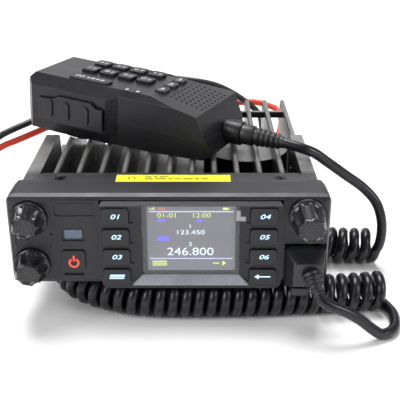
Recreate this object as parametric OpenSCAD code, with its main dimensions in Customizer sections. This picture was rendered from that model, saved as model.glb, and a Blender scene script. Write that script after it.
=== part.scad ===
// Mobile transceiver with a keypad hand microphone resting on its heat sink.
// Frame: +Z up, the front panel faces -Y, +X to the right seen from the front.
// The origin is the middle of the flat underside of the bottom cover.

/* [Case] */
// Width of the front bezel
bezel_w = 164; // [150:1:180]
// Depth of the bezel from its face to the chassis
bezel_d = 23; // [18:1:30]
// Height of the bezel above the underside
bezel_h = 48.5; // [46:0.5:56]
// Width of the die-cast chassis
chassis_w = 156; // [140:1:160]
// Length of the closed chassis box
chassis_l = 125; // [110:1:140]
// Height of the floor that the fins stand on
floor_h = 22; // [20:1:26]
// Thickness of the chassis walls
wall = 3; // [2.5:0.5:4]

/* [Heat sink] */
// Number of cooling fins
fin_count = 12; // [9:1:12]
// Spacing of the fins
fin_pitch = 12.3; // [11:0.1:12.3]
// Thickness of a fin
fin_t = 3.2; // [2.4:0.1:3.4]
// Height of the fin tops above the underside
fin_top = 46.5; // [42:0.5:46.5]
// Length that the fins overhang the rear wall
fin_overhang = 23; // [10:1:30]

/* [Front controls] */
// Width of a front key
key_w = 13.6; // [10:0.1:13.8]
// Height of a front key
key_h = 8; // [6:0.1:8.4]
// Vertical spacing of the front keys
key_pitch = 11.35; // [10:0.05:11.4]
// Gap round a key in its hole
key_gap = 0.3; // [0.25:0.05:0.4]
// Skirt radius of the knobs
knob_r = 9.2; // [7:0.1:9.4]
// Length of the two left knobs
knob_len = 12; // [9:0.5:15]
// Length of the channel knob on the right
channel_len = 19; // [15:0.5:22]
// Radius of the encoder shafts
shaft_r = 3; // [2.5:0.1:3]

/* [Hand microphone] */
// Length of the microphone body
mic_l = 125; // [120:1:128]
// Width of the microphone body
mic_w = 62; // [60:1:64]
// Thickness of the microphone body
mic_t = 30; // [28:1:32]
// Angle between the microphone's length and the chassis's width
mic_yaw = 25.5; // [20:0.5:30]
// Rise of the microphone's top end off the fins
mic_tilt = 3.8; // [3:0.1:5]

/* [Cords] */
// Diameter of the microphone cord
cord_d = 5.8; // [5:0.1:6.5]
// Outer diameter of the coiled stretch
coil_d = 21.5; // [18:0.5:21.5]
// Diameter of each power lead
wire_d = 4.4; // [3:0.1:5]

/* [Hidden] */
$fn = 48;
// distance from the origin to the front face of the key panel
front_y = -88;
// the case's layers along Y, counted from the panel's front face
face_y = 2;
face_t = 3;
seat_y = face_y + face_t;
rear_y = face_y + bezel_d;
back_y = rear_y + chassis_l;
cover_t = 1.5;
inner_y = 12;
board_t = 1.6;
press = 0.8;

// key panel and screen, measured across the front
panel_x = [-35, 57.6];
panel_z = [-3, 46.5];
glass_x = [-14, 36];
glass_z = [5, 44];
left_key_x = -27;
right_key_x = 48;
top_key_z = 38.6;
power_x = -49.2;
power_z = 13;
knob_xz = [[-70.6, 36.2], [-71, 10]];
channel_xz = [69.8, 38];
shaft_end = -6;
channel_shaft_end = -13;
socket_x = 70;
socket_z = 10;

// heat sink
fin_x0 = -62.5;
fin_front = 38.5;
tie_z = [41, 45];
boss_xy = [44, 105];
rail_x = 70.5;
rail_end = 104;
rail_r = 5;
// the left holes sit further forward, so that a bracket fits one way round
bracket_y = [48, 88];
left_bracket_y = [45, 85];
bracket_z = 31;
bracket_r = 2;
cover_screw_xy = [[-68, 34], [68, 34], [-68, 141], [68, 141]];
flange_screw_x = [-58.5, 58.5];
speaker_xy = [-5, 82];

// rear fittings
antenna_x = -42;
antenna_r = 7.9;
jack_x = 8;
grommet_x = 62;
fitting_z = 12;

// microphone: its own frame has X along its length from the cord end
mic_at = [42, 73, 46.4];
body_u = 8;
shell_split = 11;
top_wall = 3;
neck_z = 9.8;
crown_v = 15;
crown_tilt = 25;
mic_keys_u = 64.6;
mic_keys_v = [-4, 9.9, 23.8];
mic_pitch_u = 12.5;
oval_u = 49.3;
oval_v = [-12, -1, 10, 23.5];
wide_key_uv = [92.5, -20];
end_key_w = 16.5;
talk_uw = [100, 13];
hang_uv = [99, -17];

// cord centre lines, counted from the panel's front face
coil_z = -13.8;
coil_path = [[116, 17, coil_z], [98, 14, coil_z], [80, 12.5, coil_z], [45, 10, coil_z], [12, 9, coil_z],
    [-15, 10, coil_z], [-33, 15, coil_z], [-49, 25, coil_z], [-59, 42, coil_z], [-62, 63, coil_z],
    [-56, 86, coil_z], [-42, 103, coil_z], [-20, 112, coil_z], [8, 114, coil_z], [35, 108, coil_z],
    [58, 92, coil_z], [76, 77, coil_z], [95, 71, coil_z], [119, 70, coil_z]];
plug_lead_path = [[75.2, -16.8, 2.9], [76.4, -18.6, 0.6], [80.5, -19.4, -1], [85.6, -19.3, -2.2],
    [91.7, -18.8, -6.4], [97.7, -18, -11.8], [103.5, -17.5, -17], [108.5, -16.5, -20.6], [113, -14.5, -21.6],
    [117, -10, -21.6], [119.6, -3, -21.6], [121, 5, -20], [120.5, 12, -16.5], [116, 17, coil_z]];
mic_lead_path = [[64, 62.5, 54.6], [74.5, 59.5, 52.2], [80.5, 60.4, 49.4], [86.8, 62, 44.6], [98.9, 65, 34.8],
    [112, 67.5, 24], [120.5, 69, 9.5], [124.6, 70, -3], [124, 70, -10.5], [119, 70, coil_z]];
red_path = [[65, 153.4, 13], [66, 164, 13], [69, 178, 13.5], [74, 192, 17], [76, 202, 22.5], [73.5, 209, 28],
    [65, 212, 31], [56, 212.5, 33], [46, 212.5, 32.5], [20, 212, 32], [-20, 209, 31], [-56, 196, 30],
    [-82, 176, 29.5], [-98, 160, 27], [-108, 152, 24.7], [-120, 146, 21], [-134, 137, 11], [-146, 124, -3],
    [-156, 108, -15], [-166, 90, -21.6], [-174, 68, -21.6], [-180, 48, -18]];
black_path = [[59, 153.4, 11], [59, 166, 11.5], [60, 180, 14.5], [61, 194, 20.5], [59.5, 203, 27],
    [54, 206, 31.5], [46, 207, 37.5], [37, 207, 43], [27, 207, 47.5], [15, 206, 50.5], [-15, 205, 53.5],
    [-46, 197, 51.5], [-70, 184, 46.5], [-87, 171, 40.5], [-99.3, 160, 35.4], [-108.5, 153, 33],
    [-120, 147, 28.5], [-137, 137, 15], [-152, 123, -1], [-164, 108, -13.5], [-174, 92, -21.4],
    [-182, 70, -21.6], [-186, 48, -18]];

// ---- helpers ----

// moves the front-based coordinates into the part's frame
module case() {
    translate([0, front_y, 0]) children();
}

// extrudes an X-Z outline from y0 back to y1
module slab(y0, y1) {
    translate([0, y1, 0]) rotate([90, 0, 0]) linear_extrude(height = y1 - y0) children();
}

// rectangle with true round corners
module round_rect(w, h, r) {
    square([w - 2 * r, h], center = true);
    square([w, h - 2 * r], center = true);
    for (x = [-1, 1], y = [-1, 1]) translate([x * (w / 2 - r), y * (h / 2 - r)]) circle(r = r);
}

module box(lo, hi) {
    translate(lo) cube(hi - lo);
}

module y_rod(r, y0, y1) {
    translate([0, y0, 0]) rotate([-90, 0, 0]) cylinder(r = r, h = y1 - y0);
}

// rings of a straight tube swept along a route, each ring turned as little as possible
function unit(v) = v / norm(v);
function across(v, t) = unit(v - (v * t) * t);
function tangent(p, i) =
    let (n = len(p) - 1)
    i == 0 ? unit(p[1] - p[0])
    : i == n ? unit(p[n] - p[n - 1])
    : unit(unit(p[i] - p[i - 1]) + unit(p[i + 1] - p[i]));
function start_side(t) = abs(t[2]) > 0.9 ? across([0, 1, 0], t) : across([0, 0, 1], t);
function ring_side(p, i) =
    i == 0 ? start_side(tangent(p, 0)) : across(ring_side(p, i - 1), tangent(p, i));
function ring(p, i, r, n) =
    let (t = tangent(p, i), a = ring_side(p, i), b = cross(t, a))
    [for (k = [0 : n - 1]) p[i] + r * (cos(360 * k / n) * a + sin(360 * k / n) * b)];

module tube(path, d, n) {
    last = len(path) - 1;
    points = [for (i = [0 : last]) each ring(path, i, d / 2, n)];
    sides = [for (i = [0 : last - 1], k = [0 : n - 1])
        [(i + 1) * n + k, (i + 1) * n + (k + 1) % n, i * n + (k + 1) % n, i * n + k]];
    ends = [[for (k = [0 : n - 1]) k], [for (k = [n - 1 : -1 : 0]) last * n + k]];
    polyhedron(points = points, faces = concat(sides, ends), convexity = 10);
}

// ---- chassis and heat sink ----

module fin(x) {
    translate([x - fin_t / 2, fin_front - 1, floor_h - 1])
        cube([fin_t, back_y - fin_front + 1, fin_top - fin_t / 2 - floor_h + 1]);
    translate([x - fin_t / 2, back_y - 1, floor_h + 3])
        cube([fin_t, fin_overhang + 1, fin_top - fin_t / 2 - floor_h - 3]);
    translate([x, fin_front - 1, fin_top - fin_t / 2])
        rotate([-90, 0, 0]) cylinder(r = fin_t / 2, h = back_y + fin_overhang - fin_front + 1, $fn = 24);
}

// thick rail beside the fins that takes the bracket screws, rounded down to the floor at its rear
module side_rail() {
    translate([rail_x, 0, 0]) rotate([90, 0, 90]) linear_extrude(height = chassis_w / 2 - rail_x) {
        polygon([[rear_y, 20], [rear_y, fin_top], [rail_end - rail_r, fin_top], [rail_end, fin_top - rail_r],
            [rail_end + 2, floor_h], [rail_end + 2, 20]]);
        translate([rail_end - rail_r, fin_top - rail_r]) circle(r = rail_r);
    }
}

module flange_shape(g) {
    translate([0, rear_y + 4.25]) round_rect(144 + 2 * g, 16.5 + 2 * g, 5.5 + g);
}

module chassis() {
    color("#26272a") case() difference() {
        union() {
            box([-chassis_w / 2, rear_y, cover_t], [chassis_w / 2, back_y, floor_h]);
            box([-chassis_w / 2, rear_y, floor_h - 1], [chassis_w / 2, fin_front, 43.5]);
            // mounting flange, its front edge set into the bezel
            translate([0, 0, 43]) linear_extrude(height = fin_top - 43) flange_shape(0);
            for (i = [0 : fin_count - 1]) fin(fin_x0 + i * fin_pitch);
            side_rail();
            mirror([1, 0, 0]) side_rail();
            translate([boss_xy[0], boss_xy[1], floor_h - 1]) cylinder(r = 26, h = 16);
            // bar that ties the fins together behind the rear wall
            box([fin_x0, back_y, tie_z[0]], [fin_x0 + (fin_count - 1) * fin_pitch, back_y + 3, tie_z[1]]);
        }
        difference() {
            box([-chassis_w / 2 + wall, rear_y + wall, 0], [chassis_w / 2 - wall, back_y - wall, floor_h - 4]);
            for (p = cover_screw_xy) translate([p[0], p[1], -1]) cylinder(r = 4, h = floor_h);
        }
        for (p = cover_screw_xy) translate([p[0], p[1], 0]) cylinder(r = 1.55, h = 10);
        for (x = flange_screw_x) translate([x, rear_y + 5.5, 36]) {
            cylinder(r = 1.55, h = 12);
            translate([0, 0, fin_top - 36 - 1.8]) cylinder(r1 = 1.55, r2 = 3.35, h = 1.81);
        }
        for (x = [-1, 1], y = x < 0 ? left_bracket_y : bracket_y)
            translate([x * (chassis_w / 2 - 3), y, bracket_z])
                rotate([0, 90, 0]) cylinder(r = bracket_r, h = 10, center = true);
        translate([antenna_x, 0, fitting_z]) y_rod(6, back_y - 5, back_y + 1);
        translate([jack_x, 0, fitting_z]) y_rod(4, back_y - 5, back_y + 1);
        translate([grommet_x, 0, fitting_z]) y_rod(7, back_y - 5, back_y + 1);
    }
}

module bottom_cover() {
    color("#2b2c2f") case() difference() {
        box([-chassis_w / 2, rear_y, 0], [chassis_w / 2, back_y, cover_t]);
        for (p = cover_screw_xy) translate([p[0], p[1], -1]) {
            cylinder(r = 1.7, h = 4);
            translate([0, 0, 0.99]) cylinder(r1 = 3.2, r2 = 1.7, h = 1.4);
        }
        // sound slots under the speaker
        for (i = [-3 : 3]) translate([speaker_xy[0] + i * 4.6, speaker_xy[1], -1])
            linear_extrude(height = 4) round_rect(2.2, 26 - 2 * abs(i), 1.05);
    }
}

module countersunk(head_r, shank_r, len) {
    // origin in the middle of the head's flat top, shank along -Z
    difference() {
        union() {
            translate([0, 0, -1.3]) cylinder(r1 = shank_r, r2 = head_r, h = 1.3);
            translate([0, 0, -len]) cylinder(r = shank_r, h = len - 1.2);
        }
        for (a = [0, 90]) rotate([0, 0, a]) translate([-1.6, -0.35, -0.8]) cube([3.2, 0.7, 1]);
    }
}

module case_screws() {
    color("#15161a") case() {
        for (x = flange_screw_x) translate([x, rear_y + 5.5, fin_top - 0.15]) countersunk(3, 1.5, 9);
        for (p = cover_screw_xy) translate([p[0], p[1], 0.1]) rotate([180, 0, 0]) countersunk(3, 1.5, 8);
    }
}

// ---- front ----

module bezel_block() {
    intersection() {
        translate([0, 0, 23.75]) slab(face_y, rear_y) round_rect(bezel_w, bezel_h + 1, 4.5);
        translate([-100, 0, 0]) rotate([90, 0, 90]) linear_extrude(height = 200)
            polygon([[rear_y, -1], [rear_y, bezel_h - 0.6], [rear_y - 2, bezel_h], [face_y + 4, bezel_h],
                [face_y + 1.4, bezel_h - 1], [face_y, bezel_h - 3], [face_y, 1.2], [face_y + 1.6, -1]]);
        translate([0, 0, -10]) linear_extrude(height = 80)
            polygon([[-82, 5], [-80.8, 2.7], [-78.6, 2], [78.6, 2], [80.8, 2.7], [82, 5], [80.6, rear_y - 6],
                [79.2, rear_y - 2.2], [75.6, rear_y], [-75.6, rear_y], [-79.2, rear_y - 2.2], [-80.6, rear_y - 6]]);
    }
}

module bezel() {
    color("#2d2e31") case() difference() {
        bezel_block();
        box([-77, seat_y, 2.5], [77, rear_y - 8, 45]);
        box([-74.5, seat_y, 2.5], [74.5, rear_y + 1, 45]);
        // notch for the chassis flange
        translate([0, 0, 42.7]) linear_extrude(height = 8) flange_shape(0.3);
        // pocket for the flanges of the lowest keys
        box([panel_x[0] + 0.3, seat_y, 0], [panel_x[1] - 0.3, seat_y + 3, 3]);
        // opening for the key panel
        box([panel_x[0] - 0.15, 0, -4], [panel_x[1] + 0.15, seat_y + 0.1, panel_z[1] - 0.35]);
        // wells and shaft holes of the three knobs
        for (p = concat(knob_xz, [channel_xz])) translate([p[0], 0, p[1]]) {
            y_rod(10, face_y - 1, face_y + 0.8);
            y_rod(4.2, face_y - 1, seat_y + 1);
        }
        translate([power_x, 0, power_z]) slab(0, seat_y + 1) round_rect(11.6 + 2 * key_gap, 10.4 + 2 * key_gap, 1.6);
        // recess and hole of the status window
        translate([-48.8, 0, 27.3]) slab(0, face_y + 0.7) round_rect(12.6, 8, 1.6);
        translate([-48.8, 0, 27.3]) slab(0, seat_y + 1) round_rect(9.4, 5.2, 0.8);
        // framed plaque, its middle standing back up inside the groove
        translate([-47.6, 0, 41.2]) difference() {
            slab(0, face_y + 0.7) round_rect(20.4, 7.9, 1.4);
            slab(face_y + 0.3, face_y + 1) round_rect(18.6, 6.1, 0.9);
        }
        // slot below the power key, microphone hole and grip lines
        translate([-49.6, 0, 4.4]) slab(0, face_y + 1.2) round_rect(10.4, 1.9, 0.6);
        translate([-60, 0, 27.3]) y_rod(0.6, 0, seat_y + 1);
        for (p = [[-78.2, 24], [-60.4, 22.5]]) translate([p[0], 0, p[1]]) slab(0, face_y + 0.5) round_rect(0.7, 6, 0.3);
        // socket bay
        box([59.2, 0, -2], [80.8, seat_y + 1, 22]);
    }
}

module panel_openings() {
    for (i = [0 : 3]) {
        z = top_key_z - i * key_pitch;
        for (x = [left_key_x, right_key_x]) translate([x, 0, z])
            slab(-1, seat_y + 1) round_rect(key_w + 2 * key_gap, key_h + 2 * key_gap, 1.6);
    }
}

module key_panel() {
    color("#232427") case() difference() {
        union() {
            translate([(panel_x[0] + panel_x[1]) / 2, 0, (panel_z[0] + panel_z[1]) / 2 - 0.25]) difference() {
                slab(0, seat_y) round_rect(panel_x[1] - panel_x[0], panel_z[1] - panel_z[0] - 0.5, 3.5);
                // bevelled upper lip
                translate([0, 0, 26]) rotate([35, 0, 0]) cube([120, 12, 6], center = true);
            }
            // guide pegs beside the lower inner corners of the keys
            for (i = [0 : 2], x = [-19.2, 40.2])
                translate([x, 0, top_key_z - 4.6 - i * key_pitch]) slab(-0.9, 0.2) round_rect(2.2, 1.5, 0.6);
        }
        panel_openings();
        // window of the screen and the seat of its glass
        box([glass_x[0] - 0.15, -1, glass_z[0] - 0.15], [glass_x[1] + 0.15, 1.8, glass_z[1] + 0.15]);
        box([-11.5, -1, 6.2], [34, seat_y + 1, 43]);
        sill_shape(-1, 1.6, 0.15);
    }
}

module sill_shape(y0, y1, g) {
    slab(y0, y1) polygon([[-19 - g, -g], [41 + g, -g], [36 + g, 4.7 + g], [-14 - g, 4.7 + g]]);
}

module screen_sill() {
    // sloping ledge below the screen
    color("#8d8f93") case() intersection() {
        sill_shape(-3, 1.5, 0);
        translate([-30, 0, 0]) rotate([90, 0, 90]) linear_extrude(height = 80)
            polygon([[1.5, 0], [1.5, 4.7], [0.5, 4.7], [-2.6, 0.7], [-2.6, 0]]);
    }
}

module screen_glass() {
    color([0.35, 0.37, 0.4, 0.5]) case() box([glass_x[0], 0.5, glass_z[0]], [glass_x[1], 1.7, glass_z[1]]);
}

module display() {
    color("#5d6168") case() box([-11.2, 2.1, 6.5], [33.7, 5.2, 42.7]);
}

module front_board() {
    // board behind the keys with the encoders of the three knobs
    color("#1f5a3c") case() {
        box([-74, inner_y, 4], [74, inner_y + board_t, 44]);
        for (p = knob_xz) translate([p[0], 0, p[1]]) encoder(shaft_end);
        translate([channel_xz[0], 0, channel_xz[1]]) encoder(channel_shaft_end);
    }
}

module encoder(tip) {
    slab(6.4, inner_y) square([11, 11], center = true);
    y_rod(shaft_r, tip, 6.6);
}

module status_window() {
    color("#8094a8") case() translate([-48.8, 0, 27.3]) slab(face_y + 0.1, seat_y + 3) round_rect(9, 4.8, 0.7);
}

module heat_label() {
    color("#f2e520") case() box([-28.7, rear_y - 1, fin_top + 0.02], [31.9, rear_y + 9.2, fin_top + 0.25]);
}

module main_board() {
    color("#1f5a3c") case() box([-62, rear_y + 15, 8], [62, back_y - 20, 8 + board_t]);
}

module speaker() {
    color("#2a2b2e") case() translate([speaker_xy[0], speaker_xy[1], cover_t + 0.2]) {
        difference() {
            cylinder(r = 20, h = 1.6);
            translate([0, 0, -1]) cylinder(r = 17, h = 2);
        }
        translate([0, 0, 1.5]) cylinder(r = 9, h = 3.4);
    }
}

// ---- keys and knobs of the front ----

module front_key(x, i) {
    color("#1b1c1f") case() translate([x, 0, top_key_z - i * key_pitch]) {
        slab(-1.5, seat_y + 0.6) round_rect(key_w, key_h, 1.4);
        slab(seat_y + 0.3, seat_y + 1.3) round_rect(key_w + 1.6, key_h + 0.4, 1.4);
        slab(seat_y + 1.2, inner_y - press - 0.3) square([4, 4], center = true);
    }
}

module power_key() {
    color("#1b1c1f") case() translate([power_x, 0, power_z]) {
        slab(0.9, seat_y + 0.6) round_rect(11.6, 10.4, 1.4);
        slab(seat_y + 0.3, seat_y + 1.3) round_rect(13.2, 12, 1.4);
        slab(seat_y + 1.2, inner_y - press - 0.3) square([4, 4], center = true);
    }
}

// fluted knob standing on -Y, its skirt at y = 1.6
module knob(len, base_r, waist_r, cap_r, bore_end) {
    difference() {
        union() {
            translate([0, 1.6, 0]) rotate([90, 0, 0]) {
                cylinder(r1 = base_r, r2 = base_r - 0.6, h = 2);
                translate([0, 0, 2]) cylinder(r1 = base_r - 0.6, r2 = waist_r, h = len - 2.6);
                cylinder(r = cap_r, h = len);
            }
        }
        // flutes along the cone
        for (a = [0 : 30 : 330]) rotate([0, a, 0])
            translate([base_r + 0.75, -1.2, 0]) rotate([90, 0, 0])
                rotate([0, -atan((base_r - waist_r) / len), 0]) cylinder(r = 1.7, h = len + 4, $fn = 24);
        y_rod(shaft_r + 0.05, bore_end, 3);
    }
}

module volume_knob() {
    color("#141517") case() translate([knob_xz[0][0], 0, knob_xz[0][1]]) knob(knob_len, knob_r, 6.6, 5.3, shaft_end - 0.4);
}

module squelch_knob() {
    color("#141517") case() translate([knob_xz[1][0], 0, knob_xz[1][1]]) knob(knob_len, knob_r, 6.6, 5.6, shaft_end - 0.4);
}

module channel_knob() {
    color("#141517") case() translate([channel_xz[0], 0, channel_xz[1]])
        knob(channel_len, knob_r - 0.2, 7.2, 6.2, channel_shaft_end - 0.4);
}

// ---- rear fittings ----

module antenna_socket() {
    color("#b9bcc0") case() translate([antenna_x, 0, fitting_z]) difference() {
        union() {
            y_rod(9.2, back_y + 0.05, back_y + 2);
            y_rod(antenna_r, back_y + 1.9, back_y + 16);
            y_rod(5.8, back_y - 12, back_y + 1);
        }
        y_rod(2.05, back_y + 4, back_y + 17);
        difference() {
            y_rod(6, back_y + 9, back_y + 17);
            y_rod(4, back_y + 8, back_y + 18);
        }
    }
}

module speaker_jack() {
    color("#1a1b1d") case() translate([jack_x, 0, fitting_z]) difference() {
        union() {
            y_rod(3.8, back_y - 12, back_y + 0.1);
            y_rod(5, back_y + 0.05, back_y + 1.6);
        }
        y_rod(1.8, back_y - 11, back_y + 2);
    }
}

module lead_grommet() {
    color("#121214") case() translate([grommet_x, 0, fitting_z]) {
        y_rod(6.8, back_y - 4, back_y + 0.1);
        y_rod(8.5, back_y + 0.05, back_y + 3.4);
    }
}

module red_lead() {
    color("#e2371f") case() tube(red_path, wire_d, 8);
}

module black_lead() {
    color("#151517") case() tube(black_path, wire_d, 8);
}

module power_connector() {
    color("#1a1a1c") case() translate([-183, 36, -17.8]) difference() {
        union() {
            slab(-12, 12) round_rect(17, 13.4, 2);
            box([-4, -8, 6], [4, 6, 8]);
        }
        for (s = [-1, 1]) translate([s * 4, 0, 0]) slab(-13, -2) square([5.4, 7], center = true);
    }
}

// ---- microphone cord ----

module mic_socket() {
    color("#17181a") case() translate([socket_x, 0, socket_z]) difference() {
        slab(seat_y + 1.2, inner_y - 0.2) square([13.6, 13], center = true);
        slab(seat_y, inner_y - 1.5) square([12, 10], center = true);
    }
}

module mic_plug() {
    color("#1b1c1e") case() {
        // moulded block that tapers forward
        hull() {
            translate([socket_x - 0.2, 0, 8.4]) slab(1, 4.6) square([20.6, 22], center = true);
            translate([socket_x + 0.4, 0, 10]) slab(-10, -9) square([15, 13], center = true);
        }
        box([63, -4, -5.4], [71, 3.8, -1]);
        translate([socket_x, 0, socket_z]) slab(4, inner_y - 2) square([11.6, 9.6], center = true);
    }
}

boot_a = [71.2, -9.5, 11.5];
boot_b = [75.2, -16.8, 2.9];

module plug_boot() {
    dir = boot_b - boot_a;
    len = norm(dir);
    color("#161719") case() translate(boot_a)
        rotate([0, acos(dir[2] / len), atan2(dir[1], dir[0])]) {
            cylinder(r1 = 4.2, r2 = 3.3, h = len);
            for (i = [0 : 3]) translate([0, 0, 2.6 + i * 2.3]) cylinder(r = 4.5 - 0.2 * i, h = 1.2);
        }
}

module plug_lead() {
    color("#141416") case() tube(plug_lead_path, cord_d, 8);
}

module coiled_cord() {
    color("#141416") case() tube(coil_path, coil_d, 12);
}

module mic_lead() {
    color("#141416") case() tube(mic_lead_path, cord_d, 8);
}

// ---- hand microphone ----

// places the microphone: its talk key's side, at -Y of its own frame, ends up nearest the front
module mic() {
    case() translate(mic_at) rotate([0, 0, 180 - mic_yaw]) rotate([0, -mic_tilt, 0])
        mirror([0, 1, 0]) children();
}

// solid outline of the microphone, made smaller all round by g
module mic_solid(g) {
    u1 = body_u + mic_l - g;
    w = mic_w / 2 - g;
    t = mic_t - g;
    intersection() {
        // plan: a waist beside the cord, a full width round the talk key
        translate([0, 0, -8]) linear_extrude(height = mic_t + 10)
            polygon([[body_u + g, -13], [body_u + 3, -w + 4.6], [body_u + 7, -w + 2.6], [69, -w + 2.6], [76, -w],
                [u1 - 6, -w], [u1, -w + 6], [u1, w - 6], [u1 - 6, w], [60, w], [body_u + 22, w - 4],
                [body_u + 5, w - 6], [body_u + g, 17]]);
        // side view: the cord end leans back and the grille slopes down to it
        translate([0, 50, 0]) rotate([90, 0, 0]) linear_extrude(height = 100)
            polygon([[body_u + 1.5 + g, 3 + g], [body_u + 6, g], [48, g - 2.5], [110, g - 3.7], [u1 - 4, g - 3.2],
                [u1, 1.5], [u1, t - 6], [u1 - 5, t], [body_u + 42, t], [body_u + 11.5 + g, t - 5.7]]);
        // end view: the keys stand on a flat, with a slope beyond it
        rotate([90, 0, 90]) linear_extrude(height = 140)
            polygon([[-w + 3, g - 8], [-w, 3], [-w, 24], [-w + 6, t], [crown_v, t],
                [w - 1.5, t - (w - 1.5 - crown_v) * tan(crown_tilt)], [w, 19], [w, 3], [w - 3, g - 8]]);
    }
}

// puts a key on the top at u and v, square to the surface there
module on_top(u, v) {
    if (v > crown_v) translate([u, v, mic_t - (v - crown_v) * tan(crown_tilt)]) rotate([-crown_tilt, 0, 0]) children();
    else translate([u, v, mic_t]) children();
}

module at_pad(k) {
    on_top(mic_keys_u + (k % 4) * mic_pitch_u, mic_keys_v[floor(k / 4)]) children();
}

module end_face() {
    translate([body_u + mic_l, 0, end_key_w]) rotate([0, 0, 90]) children();
}

// outline of the talk key: lower at both ends
module talk_shape(g) {
    translate([talk_uw[0], talk_uw[1]])
        polygon([[-23 - g, -8 - g], [20.5 + g, -8 - g], [20.5 + g, 4.6 + g], [11 + g, 5 + g], [7 + g, 7.4 + g],
            [-15 - g, 7.4 + g], [-18.5 - g, 4.8 + g], [-23 - g, 4.4 + g]]);
}

module top_holes() {
    for (k = [0 : 11]) at_pad(k) translate([0, 0, -8]) linear_extrude(height = 12)
        round_rect(9.6 + 2 * key_gap, 9 + 2 * key_gap, 2);
    for (v = oval_v) on_top(oval_u, v) translate([0, 0, -8]) linear_extrude(height = 12)
        round_rect(7.4 + 2 * key_gap, 9.6 + 2 * key_gap, 3.4 + key_gap);
    on_top(wide_key_uv[0], wide_key_uv[1]) translate([0, 0, -8]) linear_extrude(height = 12)
        round_rect(27 + 2 * key_gap, 8 + 2 * key_gap, 3);
}

// opening of the talk key and the gland of the cord, shared by both shells
module side_holes() {
    slab(-mic_w / 2 - 2, -mic_w / 2 + 8) talk_shape(0.4);
    translate([0, 0, neck_z]) rotate([0, 90, 0]) cylinder(r = 4.1, h = 18);
}

module mic_front() {
    color("#2a2b2e") mic() difference() {
        intersection() {
            mic_solid(0);
            translate([0, -50, shell_split + 0.15]) cube([140, 100, 40]);
        }
        intersection() {
            mic_solid(top_wall);
            translate([0, -50, 0]) cube([140, 100, 40]);
        }
        top_holes();
        side_holes();
        // grille over the loudspeaker
        for (i = [0 : 6], j = [-3.5 : 3.5]) translate([body_u + 14 + i * 3.3, j * 4.4, mic_t - 15])
            cylinder(r = 0.8, h = 20, $fn = 12);
        end_face() slab(-3, 6) round_rect(14 + 2 * key_gap, 9.6 + 2 * key_gap, 3.4);
    }
}

module mic_back() {
    color("#262729") mic() difference() {
        union() {
            intersection() {
                mic_solid(0);
                translate([0, -50, -8]) cube([140, 100, shell_split + 8]);
            }
            // collar round the gland
            translate([2.6, 0, neck_z]) rotate([0, 90, 0]) cylinder(r = 7, h = 10);
        }
        intersection() {
            mic_solid(2.5);
            translate([0, -50, -8]) cube([140, 100, shell_split + 10]);
        }
        side_holes();
        translate([hang_uv[0], hang_uv[1], -5]) cylinder(r = 2.1, h = 6);
    }
}

module mic_boot() {
    color("#17181a") mic() translate([12, 0, neck_z]) rotate([0, -90, 0]) {
        cylinder(r = 4, h = 12);
        translate([0, 0, 9.6]) cylinder(r = 5.9, h = 7.4);
        translate([0, 0, 16.9]) cylinder(r1 = 5, r2 = 3.6, h = 17.6);
        for (i = [0 : 3]) translate([0, 0, 19.4 + i * 3.4]) cylinder(r = 5.5 - 0.35 * i, h = 1.7);
    }
}

module hang_button() {
    color("#d9dce0") mic() translate([hang_uv[0], hang_uv[1], 0]) {
        translate([0, 0, -3.8]) cylinder(r = 2, h = 4.8);
        translate([0, 0, -4]) cylinder(r = 4, h = 0.4);
        translate([0, 0, -5.5]) cylinder(r1 = 10.4, r2 = 11.5, h = 0.8);
        translate([0, 0, -4.71]) cylinder(r1 = 11.5, r2 = 10.8, h = 0.75);
    }
}

module ptt_key() {
    color("#242528") mic() {
        slab(-mic_w / 2 - 2.2, -mic_w / 2 + 3.4) talk_shape(0);
        for (u = [-11, 2.2, 13.8]) translate([talk_uw[0] + u, -mic_w / 2 - 2.2, talk_uw[1] - 0.8])
            slab(-1, 1) round_rect(6, 11.6, 2.8);
    }
}

module pad_key(k) {
    color("#1c1d20") mic() at_pad(k) translate([0, 0, -9]) {
        linear_extrude(height = 10.8) round_rect(9.6, 9, 1.9);
        linear_extrude(height = 0.7) round_rect(11, 9, 1.9);
    }
}

module oval_key(k) {
    color("#1c1d20") mic() on_top(oval_u, oval_v[k]) translate([0, 0, -9]) {
        linear_extrude(height = 9.8) round_rect(7.4, 9.6, 3.4);
        linear_extrude(height = 0.7) round_rect(8.8, 9.6, 3.4);
    }
}

module wide_key() {
    color("#1c1d20") mic() on_top(wide_key_uv[0], wide_key_uv[1]) translate([0, 0, -9]) {
        linear_extrude(height = 10.2) round_rect(27, 8, 2.9);
        linear_extrude(height = 0.7) round_rect(28.4, 8, 2.9);
    }
}

module end_key() {
    // key on the microphone's top end
    color("#1c1d20") mic() end_face() {
        slab(-1.8, 4.6) round_rect(14, 9.6, 3.2);
        slab(3.5, 4.6) round_rect(15.4, 9.6, 3.2);
    }
}

chassis();
bottom_cover();
case_screws();
bezel();
key_panel();
screen_sill();
screen_glass();
display();
front_board();
status_window();
heat_label();
main_board();
speaker();
antenna_socket();
speaker_jack();
lead_grommet();
red_lead();
black_lead();
power_connector();
mic_socket();
mic_plug();
plug_boot();
plug_lead();
coiled_cord();
mic_lead();
front_key(left_key_x, 0);  // key_left_1
front_key(left_key_x, 1);  // key_left_2
front_key(left_key_x, 2);  // key_left_3
front_key(left_key_x, 3);  // key_left_4
front_key(right_key_x, 0);  // key_right_1
front_key(right_key_x, 1);  // key_right_2
front_key(right_key_x, 2);  // key_right_3
front_key(right_key_x, 3);  // key_right_4
power_key();
volume_knob();
squelch_knob();
channel_knob();
mic_front();
mic_back();
mic_boot();
hang_button();
ptt_key();
end_key();
wide_key();
oval_key(0);  // oval_key_1
oval_key(1);  // oval_key_2
oval_key(2);  // oval_key_3
oval_key(3);  // oval_key_4
pad_key(0);  // pad_key_01
pad_key(1);  // pad_key_02
pad_key(2);  // pad_key_03
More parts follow.
